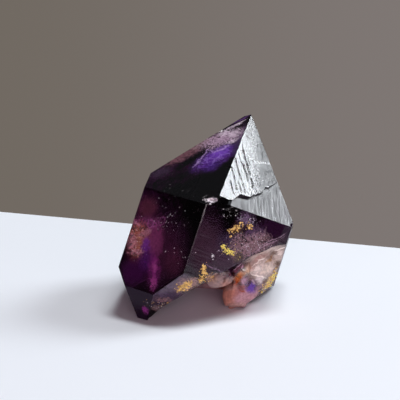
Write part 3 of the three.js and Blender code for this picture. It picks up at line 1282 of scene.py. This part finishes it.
@dataclass
class CrystalBody:
    """The crystal itself.

    Attributes:
        habit: The crystal's faces.
        finish: Its finish.
        reliefs: The faces that carry a relief.
        weld: Distance at which two corners are one, in millimetres.
        cut_weld: Distance at which a corner lies on a cut, in millimetres.
        flat_angle: Facets that turn less than this are one face, in degrees.
        same_turn: Least cosine between a facet and the face that it belongs to.
        flat_turn: Least cosine between the flat that the crystal stands on and the floor.
        face_rise: How far a facet of a face may stand out of it, in millimetres.
        face_reach: How far a growth step may stand back from its face, in millimetres.
        edge_wear: Width of the worn edges, in millimetres.
        edge_frost: How frosted the worn edges are, from 0 to 1.
        sharp_angle: Turn from which an edge is worn, in degrees.
        long_edge: Length from which an edge is worn, in millimetres.
        worn_from: Height from which an edge is worn, in millimetres.
        foot_height: Height up to which a place counts as the foot, in millimetres.
        grain_length: Longest edge on a break, in millimetres.
        grain_cuts: How often the edges of a break are halved at most.
        break_grain: Size of the roughness of a break, in millimetres.
        break_relief: Height of the roughness of a break, in millimetres.
        break_wear: How often the low parts of a break are rubbed down.
        worn_height: Height up to which they are rubbed down, in millimetres.
    """

    habit: Habit
    finish: AmethystFinish = field(default_factory=AmethystFinish)
    reliefs: dict[Face, BrightRelief | WallRelief] = field(
        default_factory=lambda: {
            Face.BRIGHT_POINT: BrightRelief(),
            Face.GOLD_WALL: WallRelief(),
            Face.RIGHT_WALL: WallRelief(spacing=(2.0, 0.3), rib=0.02, fade=(-9.0, 60.0), frosting=0.9),
            Face.BACK_WALL: FAR_RIBS,
            Face.FAR_WALL: FAR_RIBS,
            Face.LEFT_WALL: FAR_RIBS,
        }
    )
    weld: float = 0.001
    cut_weld: float = 0.0001
    flat_angle: float = 0.3
    same_turn: float = 0.9995
    flat_turn: float = 0.999
    face_rise: float = 0.05
    face_reach: float = 0.8
    edge_wear: float = 0.012
    edge_frost: float = 0.5
    sharp_angle: float = 20.0
    long_edge: float = 0.8
    worn_from: float = 0.3
    foot_height: float = 0.1
    grain_length: float = 0.4
    grain_cuts: int = 4
    break_grain: float = 1.4
    break_relief: float = 0.06
    break_wear: int = 14
    worn_height: float = 8.0

    def build(self, solid: bpy.types.Object) -> bpy.types.Object:
        """Makes the crystal's mesh from its solid and dresses it.

        Args:
            solid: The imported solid.

        Returns:
            The crystal.
        """
        bm = bmesh.new()
        bm.from_mesh(solid.data)
        bmesh.ops.remove_doubles(bm, verts=bm.verts, dist=self.weld * MM)
        limit = math.radians(self.flat_angle)
        bmesh.ops.dissolve_limit(bm, angle_limit=limit, verts=bm.verts, edges=bm.edges)
        frost = bm.faces.layers.float.new("frost")
        broken = bm.faces.layers.float.new("broken")
        number = bm.faces.layers.float.new("number")
        for face in bm.faces:
            face.smooth = False
            face[number] = self._number(face)
            face[broken] = 0.0 if face[number] else 1.0
        self._wear(bm, frost, broken)
        self._roughen(bm, broken)
        for name, relief in self.reliefs.items():
            self._carve(bm, self.habit.plans[name], relief, frost, broken)
        crystal = make_piece("crystal", bm, self.finish.material(self.habit))
        attributes = crystal.data.attributes
        if "custom_normal" in attributes:
            attributes.remove(attributes["custom_normal"])
        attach(crystal, BODY)
        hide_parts(NODE)
        return crystal

    def _number(self, face: bmesh.types.BMFace) -> int:
        """Gives the number of the crystal face that a facet belongs to.

        Args:
            face: The facet.

        Returns:
            The number, -1 for the flat that the crystal stands on and 0 for a break.
        """
        if face.normal.z < -self.flat_turn:
            return -1
        for name, plan in self.habit.plans.items():
            if self._belongs(face, plan):
                return name.number
        return 0

    def _belongs(self, face: bmesh.types.BMFace, plan: FacePlan) -> bool:
        """Tells whether a facet lies in a crystal face or in a growth step of it.

        Args:
            face: The facet.
            plan: The crystal face.

        Returns:
            Whether it does.
        """
        if face.normal.dot(plan.normal) < self.same_turn:
            return False
        return -self.face_rise < -plan.measure(face.calc_center_median())[2] < self.face_reach

    def _wear(
        self,
        bm: bmesh.types.BMesh,
        frost: bmesh.types.BMLayerItem,
        broken: bmesh.types.BMLayerItem,
    ) -> None:
        """Rubs down the sharp edges of the faces.

        Args:
            bm: The crystal's mesh.
            frost: The layer that holds the frosting.
            broken: The layer that marks broken facets.
        """
        sharp = [
            edge
            for edge in bm.edges
            if edge.is_convex
            and edge.calc_face_angle() > math.radians(self.sharp_angle)
            and edge.calc_length() > self.long_edge * MM
            and not all(face[broken] for face in edge.link_faces)
            and max(vert.co.z for vert in edge.verts) > self.worn_from * MM
        ]
        made = bmesh.ops.bevel(
            bm,
            geom=sharp,
            offset=self.edge_wear * MM,
            offset_type="OFFSET",
            segments=2,
            profile=0.5,
            affect="EDGES",
            material=-1,
        )
        number = bm.faces.layers.float["number"]
        for face in made["faces"]:
            face[number] = -1
            face[broken] = 0.0
            face[frost] = self.edge_frost

    def _roughen(self, bm: bmesh.types.BMesh, broken: bmesh.types.BMLayerItem) -> None:
        """Gives the breaks and lumps their rough surface.

        Args:
            bm: The crystal's mesh.
            broken: The layer that marks broken facets.
        """
        for _ in range(self.grain_cuts):
            rough = [face for face in bm.faces if face[broken]]
            bmesh.ops.triangulate(bm, faces=rough)
            rough = [face for face in bm.faces if face[broken]]
            edges = {edge for face in rough for edge in face.edges}
            long_edges = [edge for edge in edges if edge.calc_length() > self.grain_length * MM]
            if not long_edges:
                break
            bmesh.ops.subdivide_edges(bm, edges=long_edges, cuts=1, use_grid_fill=True)
        rough = [face for face in bm.faces if face[broken]]
        bmesh.ops.triangulate(bm, faces=rough)
        bm.normal_update()
        foot = self.foot_height * MM
        upper = [vert for vert in bm.verts if vert.co.z > foot]
        lower = [vert for vert in bm.verts if vert.co.z <= foot]
        inner = [vert for vert in upper if all(face[broken] for face in vert.link_faces)]
        worn = [vert for vert in inner if vert.co.z < self.worn_height * MM]
        rim = [vert for vert in lower if any(face[broken] for face in vert.link_faces)]
        level = {"factor": 0.5, "use_axis_x": True, "use_axis_y": True}
        for _ in range(self.break_wear):
            bmesh.ops.smooth_vert(bm, verts=worn, use_axis_z=True, **level)
            bmesh.ops.smooth_vert(bm, verts=rim, **level)
        bm.normal_update()
        moves = {}
        for vert in inner:
            place = vert.co / MM
            lift = noise.fractal(place / self.break_grain, 1.0, 2.0, 3) * self.break_relief
            moves[vert] = vert.normal * lift * MM
        for vert, move in moves.items():
            vert.co += move
        for face in bm.faces:
            if face[broken]:
                face.smooth = face.calc_center_median().z < self.worn_height * MM

    def _carve(
        self,
        bm: bmesh.types.BMesh,
        plan: FacePlan,
        relief: BrightRelief | WallRelief,
        frost: bmesh.types.BMLayerItem,
        broken: bmesh.types.BMLayerItem,
    ) -> None:
        """Carves a relief into a face.

        Args:
            bm: The crystal's mesh.
            plan: The face.
            relief: Its relief.
            frost: The layer that holds the frosting.
            broken: The layer that marks broken facets.
        """
        for direction, axis in ((plan.across, 0), (plan.up, 1)):
            faces = [face for face in bm.faces if not face[broken] and self._belongs(face, plan)]
            reach = [plan.measure(vert.co)[axis] for face in faces for vert in face.verts]
            count = int((max(reach) - min(reach)) / relief.spacing[axis])
            for step in range(1, count):
                start = min(reach) + step * relief.spacing[axis]
                edges = {edge for face in faces for edge in face.edges}
                verts = {vert for face in faces for vert in face.verts}
                cut = bmesh.ops.bisect_plane(
                    bm,
                    geom=[*faces, *edges, *verts],
                    dist=self.cut_weld * MM,
                    plane_co=plan.origin + direction * start * MM,
                    plane_no=direction,
                )
                ahead = plan.origin.dot(direction) + start * MM
                faces = [
                    item
                    for item in cut["geom"]
                    if isinstance(item, bmesh.types.BMFace)
                    and item.calc_center_median().dot(direction) > ahead
                ]
        faces = [face for face in bm.faces if not face[broken] and self._belongs(face, plan)]
        own = set(faces)
        moves = {}
        for face in faces:
            u, v, height = plan.measure(face.calc_center_median())
            face[frost] = relief.roughness(u, v, -height)
            face.smooth = True
            for vert in face.verts:
                if all(other in own for other in vert.link_faces):
                    u, v, height = plan.measure(vert.co)
                    moves[vert] = plan.normal * relief.height(u, v, -height) * MM
        for vert, move in moves.items():
            vert.co += move
        bm.normal_update()


@dataclass(frozen=True)
class FleckFinish:
    """Small crumbs of one mineral.

    Attributes:
        name: The finish's name.
        dull: Colour of the dull crumbs.
        bright: Colour of the bright crumbs.
        metal: How metallic they are.
        roughness: Their roughness.
        grain: Size of the dull and bright places, in millimetres.
        grain_range: Noise at which a place is dullest and brightest.
        pit_size: Size of the pits, in millimetres.
        pit_depth: Depth of the pits, in millimetres.
        pit_show: How strongly the pits show.
    """

    name: str
    dull: Colour
    bright: Colour
    metal: float
    roughness: float
    grain: float = 0.5
    grain_range: tuple[float, float] = (0.35, 0.65)
    pit_size: float = 0.12
    pit_depth: float = 0.02
    pit_show: float = 0.4

    def material(self) -> bpy.types.Material:
        """Makes the crumbs' material.

        Returns:
            The material.
        """
        material = bpy.data.materials.new(self.name)
        sheet = NodeSheet(material)
        grains = sheet.cloud(self.grain, 3.0)
        colour = sheet.blend(grains.rise(*self.grain_range), self.dull, self.bright)
        skin = {"Base Color": colour, "Metallic": self.metal, "Roughness": self.roughness}
        skin["Normal"] = sheet.bump(sheet.cloud(self.pit_size), self.pit_depth, self.pit_show)
        sheet.end(sheet.node("ShaderNodeBsdfPrincipled", None, skin))
        return material


@dataclass(frozen=True)
class Trail:
    """A trail of crumbs on a face, in millimetres.

    Attributes:
        face: The face that carries it, or None for the break.
        course: The points that it passes, across and up.
        spread: How far the crumbs stray from it.
        count: Number of crumbs.
        size: Smallest and largest half size of a crumb.
        slender: Length of a crumb to its width.
    """

    face: Face | None
    course: tuple[Place, ...]
    spread: float
    count: int
    size: Place
    slender: float = 1.0


@dataclass
class Crumbs:
    """Crumbs that sit in the crystal's surface.

    Attributes:
        name: The piece's name.
        finish: The crumbs' finish.
        trails: Where they lie.
        seed: Start of the random draws.
        flatness: Thickness of a crumb to its width.
        unevenness: How uneven a crumb is.
        throw: Height over a face from which the crumbs fall on it, in millimetres.
        facing: Least cosine between a crumb's seat and its face.
        clearance: Least height of a seat over the floor, to the crumb's half size.
    """

    name: str
    finish: FleckFinish
    trails: tuple[Trail, ...]
    seed: int
    flatness: float = 0.5
    unevenness: float = 0.35
    throw: float = 20.0
    facing: float = 0.3
    clearance: float = 2.0

    def build(self, habit: Habit, crystal: bpy.types.Object) -> bpy.types.Object:
        """Makes the crumbs on the crystal's surface.

        Args:
            habit: The crystal's faces.
            crystal: The dressed crystal.

        Returns:
            The crumbs, as one piece.
        """
        draw = random.Random(self.seed)
        corners = [vert.co for vert in crystal.data.vertices]
        surface = BVHTree.FromPolygons(corners, [face.vertices for face in crystal.data.polygons])
        bm = bmesh.new()
        for trail in self.trails:
            for _ in range(trail.count):
                self._crumb(bm, habit.plan(trail.face), trail, surface, draw)
        piece = make_piece(self.name, bm, self.finish.material())
        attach(piece, BODY)
        return piece

    def _crumb(
        self,
        bm: bmesh.types.BMesh,
        plan: FacePlan,
        trail: Trail,
        surface: BVHTree,
        draw: random.Random,
    ) -> None:
        """Adds one crumb.

        Args:
            bm: The crumbs' mesh.
            plan: The face that carries it.
            trail: Its trail.
            surface: The crystal's surface.
            draw: The random draws.
        """
        leg = draw.randrange(len(trail.course) - 1) if len(trail.course) > 1 else 0
        share = draw.random()
        start, end = trail.course[leg], trail.course[min(leg + 1, len(trail.course) - 1)]
        u = start[0] + (end[0] - start[0]) * share + draw.gauss(0, trail.spread)
        v = start[1] + (end[1] - start[1]) * share + draw.gauss(0, trail.spread)
        low, high = trail.size
        half = (low + (high - low) * draw.random() ** 2) * MM
        turn = draw.uniform(0, 360)
        seat, normal, _, _ = surface.ray_cast(plan.place(u, v, self.throw), -plan.normal)
        if seat is None or normal.dot(plan.normal) < self.facing or seat.z < self.clearance * half:
            return
        made = bmesh.ops.create_icosphere(bm, subdivisions=1, radius=1.0)["verts"]
        for vert in made:
            vert.co *= 1 + self.unevenness * draw.uniform(-1, 1)
        shape = Matrix.Diagonal((half * trail.slender, half, half * self.flatness, 1))
        bmesh.ops.transform(bm, matrix=shape, verts=made)
        bmesh.ops.transform(bm, matrix=plan.turned(turn).to_4x4(), verts=made)
        bmesh.ops.translate(bm, vec=seat, verts=made)


GOLD = FleckFinish("gold", (0.62, 0.46, 0.08), (0.97, 0.88, 0.16), 0.1, 0.35)
OCHRE = FleckFinish("ochre", (0.34, 0.18, 0.04), (0.9, 0.62, 0.18), 0.15, 0.4)
DUST = FleckFinish("dust", (0.45, 0.43, 0.45), (0.9, 0.9, 0.92), 0.0, 0.5)

CRUMBS = (
    Crumbs(
        "gold_flecks",
        GOLD,
        (
            Trail(
                Face.GOLD_WALL, ((-4.2, 1.3), (-3.4, 0.6), (-2.4, 0.7), (-1.6, 0.5)),
                0.22, 90, (0.05, 0.2),
            ),
            Trail(Face.GOLD_WALL, ((-3.6, 1.0), (-0.8, 0.9)), 0.55, 40, (0.03, 0.09)),
            Trail(None, ((9.4, 1.2), (10.5, 2.1), (11.4, 3.3), (11.9, 4.5)), 0.28, 90, (0.05, 0.18)),
        ),
        11,
    ),
    Crumbs(
        "ochre_flecks",
        OCHRE,
        (
            Trail(
                Face.GOLD_WALL, ((-3.5, 3.9), (-2.9, 4.4), (-2.3, 5.2), (-1.4, 5.8)),
                0.34, 75, (0.05, 0.22),
            ),
            Trail(Face.GOLD_WALL, ((-0.6, 5.9), (-0.1, 5.8)), 0.2, 26, (0.06, 0.2)),
            Trail(Face.GREY_FOOT, ((-8.4, 0.5), (-7.9, 1.5), (-7.3, 2.5)), 0.35, 130, (0.08, 0.26)),
            Trail(Face.GOLD_WALL, ((-6.4, -2.9), (-6.0, -3.9), (-5.5, -4.4)), 0.25, 60, (0.08, 0.26)),
            Trail(Face.GREY_FOOT, ((-6.3, 4.0), (-5.7, 3.8)), 0.25, 40, (0.08, 0.24)),
            Trail(None, ((9.3, 1.3), (10.8, 2.4), (11.8, 4.6)), 0.35, 60, (0.06, 0.2)),
            Trail(None, ((-1.0, 4.2), (0.8, 4.2)), 0.4, 50, (0.05, 0.16)),
            Trail(None, ((-10.6, -0.2), (-8.3, -0.8), (-6.0, -0.2)), 0.3, 30, (0.03, 0.1)),
            Trail(Face.VEILED_WALL, ((-6.0, -0.5), (-4.4, -2.4), (-3.6, -4.4)), 0.9, 60, (0.02, 0.055)),
        ),
        12,
    ),
    Crumbs(
        "dust_specks",
        DUST,
        (
            Trail(Face.DARK_POINT, ((-4, 0), (4, -2)), 1.6, 14, (0.02, 0.06)),
            Trail(Face.VEILED_WALL, ((-4, 4), (3, 2), (4, -3)), 1.9, 34, (0.02, 0.07), 1.8),
            Trail(Face.VEILED_WALL, ((-2.5, 4.6), (1.5, 4.0), (3.5, 2.0)), 0.8, 16, (0.02, 0.04), 5.0),
            Trail(
                Face.VEILED_WALL, ((-6.2, -0.3), (-4.6, -2.4), (-3.8, -4.2)),
                0.9, 80, (0.02, 0.05), 1.5,
            ),
            Trail(Face.GOLD_WALL, ((-7, 6.5), (-4, 7.2), (-1, 7.6)), 0.7, 30, (0.03, 0.09), 1.4),
            Trail(Face.GOLD_WALL, ((-5.5, -0.5), (-1.0, 3.0)), 1.0, 30, (0.03, 0.07)),
            Trail(Face.GOLD_WALL, ((-5.4, -0.4), (-5.1, -1.6)), 0.1, 8, (0.06, 0.14)),
            Trail(Face.GOLD_WALL, ((-1.0, 2.0), (3.6, 4.4)), 0.9, 90, (0.02, 0.06), 1.6),
            Trail(Face.GOLD_WALL, ((-2.2, 6.2), (0.6, 7.4)), 0.6, 50, (0.02, 0.06)),
            Trail(Face.DARK_POINT, ((-1.6, 13.0), (0.6, 14.8)), 0.9, 90, (0.02, 0.07)),
            Trail(Face.DARK_POINT, ((-2.5, 13.9), (-2.0, 14.6)), 0.15, 14, (0.06, 0.14)),
            Trail(None, ((9.2, 1.0), (10.8, 2.4), (11.9, 4.6)), 0.35, 40, (0.04, 0.12)),
            Trail(None, ((7.6, 5.6), (11.0, 6.4)), 0.9, 40, (0.02, 0.06)),
            Trail(None, ((-10.6, -0.2), (-8.3, -0.8), (-6.0, -0.2)), 0.3, 30, (0.03, 0.08)),
            Trail(None, ((-0.8, 17.6), (0.8, 17.1)), 0.3, 40, (0.05, 0.16)),
        ),
        13,
    ),
)


@dataclass(frozen=True)
class Lamp:
    """A square soft light.

    Attributes:
        name: Its name.
        heading: Direction from the crystal to the light.
        distance: Its distance in metres.
        width: Its width in metres.
        power: Its power in watts.
        colour: Its colour.
    """

    name: str
    heading: tuple[float, float, float]
    distance: float
    width: float
    power: float
    colour: Colour


@dataclass
class Studio:
    """Floor, light, room and camera.

    Attributes:
        camera_place: Where the camera stands, in millimetres.
        camera_drop: Degrees that the camera looks down.
        lens: Focal length in millimetres.
        film: Width of the picture in the camera, in millimetres.
        nearest: Nearest distance that the camera shows, in metres.
        lamps: The lights.
        floor_edge: Two points on the far edge of the floor, in millimetres.
        floor_size: Half the width of the floor, in metres.
        floor_drop: How far the floor lies under the crystal, in millimetres.
        floor_colour: Colour of the floor.
        floor_tone: Brightness of the floor's darker places, to its colour.
        floor_cloud: Size of those places, in millimetres.
        floor_roughness: Roughness of the floor.
        wall_colours: Colours of the left and the right of the wall behind the crystal.
        ceiling_colour: Colour of the ceiling behind the crystal.
        room_colour: Colour of the rest of the room.
        wall_range: Where the wall turns from its left to its right colour, as a part of a direction.
        ceiling_range: Where the wall turns into the ceiling.
        back_range: Where the rest of the room turns into the wall.
    """

    camera_place: tuple[float, float, float] = (-1.4445, -257.326, 86.886)
    camera_drop: float = 15.0
    lens: float = 135.0
    film: float = 36.0
    nearest: float = 0.01
    lamps: tuple[Lamp, ...] = (
        Lamp("window", (0.708, 0.272, 0.652), 1.0, 0.37, 6.4, (0.91, 0.95, 1.0)),
        Lamp("overhead", (0.22, 0.06, 0.97), 1.2, 0.42, 8.8, (0.95, 0.98, 1.0)),
        Lamp("front", (0.4, -0.9, 0.14), 0.8, 0.4, 1.7, (1.0, 0.91, 0.93)),
        Lamp("fill", (-0.02, -0.95, 0.32), 0.8, 0.3, 1.55, (1.0, 0.6, 0.72)),
    )
    floor_edge: tuple[Place, Place] = ((-24.9, 50.5), (20.9, 35.5))
    floor_size: float = 0.3
    floor_drop: float = 0.01
    floor_colour: Colour = (0.82, 0.86, 0.9)
    floor_tone: float = 0.97
    floor_cloud: float = 40.0
    floor_roughness: float = 0.7
    wall_colours: tuple[Colour, Colour] = ((0.165, 0.143, 0.122), (0.21, 0.184, 0.174))
    ceiling_colour: Colour = (0.09, 0.088, 0.1)
    room_colour: Colour = (0.025, 0.019, 0.022)
    wall_range: tuple[float, float] = (-0.15, 0.15)
    ceiling_range: tuple[float, float] = (0.08, 0.32)
    back_range: tuple[float, float] = (-0.1, 0.45)

    def build(self) -> None:
        """Sets up the whole studio."""
        self._camera()
        for lamp in self.lamps:
            self._hang(lamp)
        self._floor()
        self._room()

    def _camera(self) -> None:
        """Puts the camera at the photograph's viewing angle."""
        data = bpy.data.cameras.new("camera")
        data.lens = self.lens
        data.sensor_width = self.film
        data.clip_start = self.nearest
        camera = bpy.data.objects.new("camera", data)
        camera.location = Vector(self.camera_place) * MM
        camera.rotation_euler = Euler((math.radians(90 - self.camera_drop), 0, 0))
        bpy.context.scene.collection.objects.link(camera)
        bpy.context.scene.camera = camera

    @staticmethod
    def _hang(lamp: Lamp) -> None:
        """Hangs a soft light that faces the crystal.

        Args:
            lamp: The light.
        """
        data = bpy.data.lights.new(lamp.name, "AREA")
        data.shape = "SQUARE"
        data.size = lamp.width
        data.energy = lamp.power
        data.color = lamp.colour
        light = bpy.data.objects.new(lamp.name, data)
        direction = Vector(lamp.heading).normalized()
        light.location = direction * lamp.distance
        light.rotation_euler = direction.to_track_quat("Z", "Y").to_euler()
        bpy.context.scene.collection.objects.link(light)

    def _floor(self) -> None:
        """Lays the pale floor, with its far edge behind the crystal."""
        bm = bmesh.new()
        bmesh.ops.create_grid(bm, x_segments=1, y_segments=1, size=self.floor_size)
        bmesh.ops.translate(bm, verts=bm.verts, vec=(0, 0, -self.floor_drop * MM))
        left, right = (Vector((*point, 0)) * MM for point in self.floor_edge)
        away = (right - left).cross(Vector((0, 0, -1)))
        bmesh.ops.bisect_plane(
            bm,
            geom=[*bm.verts, *bm.edges, *bm.faces],
            plane_co=left,
            plane_no=away,
            clear_outer=True,
        )
        material = bpy.data.materials.new("floor")
        sheet = NodeSheet(material)
        darker = [self.floor_tone * part for part in self.floor_colour]
        tone = sheet.blend(sheet.cloud(self.floor_cloud), self.floor_colour, darker)
        skin = {"Base Color": tone, "Roughness": self.floor_roughness}
        sheet.end(sheet.node("ShaderNodeBsdfPrincipled", None, skin))
        floor = make_piece("floor", bm, material)

    def _room(self) -> None:
        """Makes a dim room with a grey wall behind the crystal."""
        world = bpy.data.worlds.new("room")
        sheet = NodeSheet(world)
        side, back, height = (
            sheet.node("ShaderNodeSeparateXYZ", None, {0: sheet.position}, axis) for axis in "XYZ"
        )
        wall = sheet.blend(side.rise(*self.wall_range), *self.wall_colours)
        behind = sheet.blend(height.rise(*self.ceiling_range), wall, self.ceiling_colour)
        colour = sheet.blend(back.rise(*self.back_range), self.room_colour, behind)
        light = sheet.node("ShaderNodeBackground", None, {0: colour})
        sheet.node("ShaderNodeOutputWorld", None, {0: light})
        bpy.context.scene.world = world
        bpy.context.scene.view_settings.view_transform = "Standard"


def main() -> None:
    """Builds the crystal and its studio in order."""
    logging.basicConfig(level=logging.INFO, format="%(name)s: %(message)s")
    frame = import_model()
    habit = Habit()
    crystal = CrystalBody(habit).build(frame["nodes"][NODE])
    LOG.info("%s: %d faces", crystal.name, len(crystal.data.polygons))
    for crumbs in CRUMBS:
        piece = crumbs.build(habit, crystal)
        LOG.info("%s: %d faces", piece.name, len(piece.data.polygons))
    Studio().build()


if __name__ == "__main__":
    main()
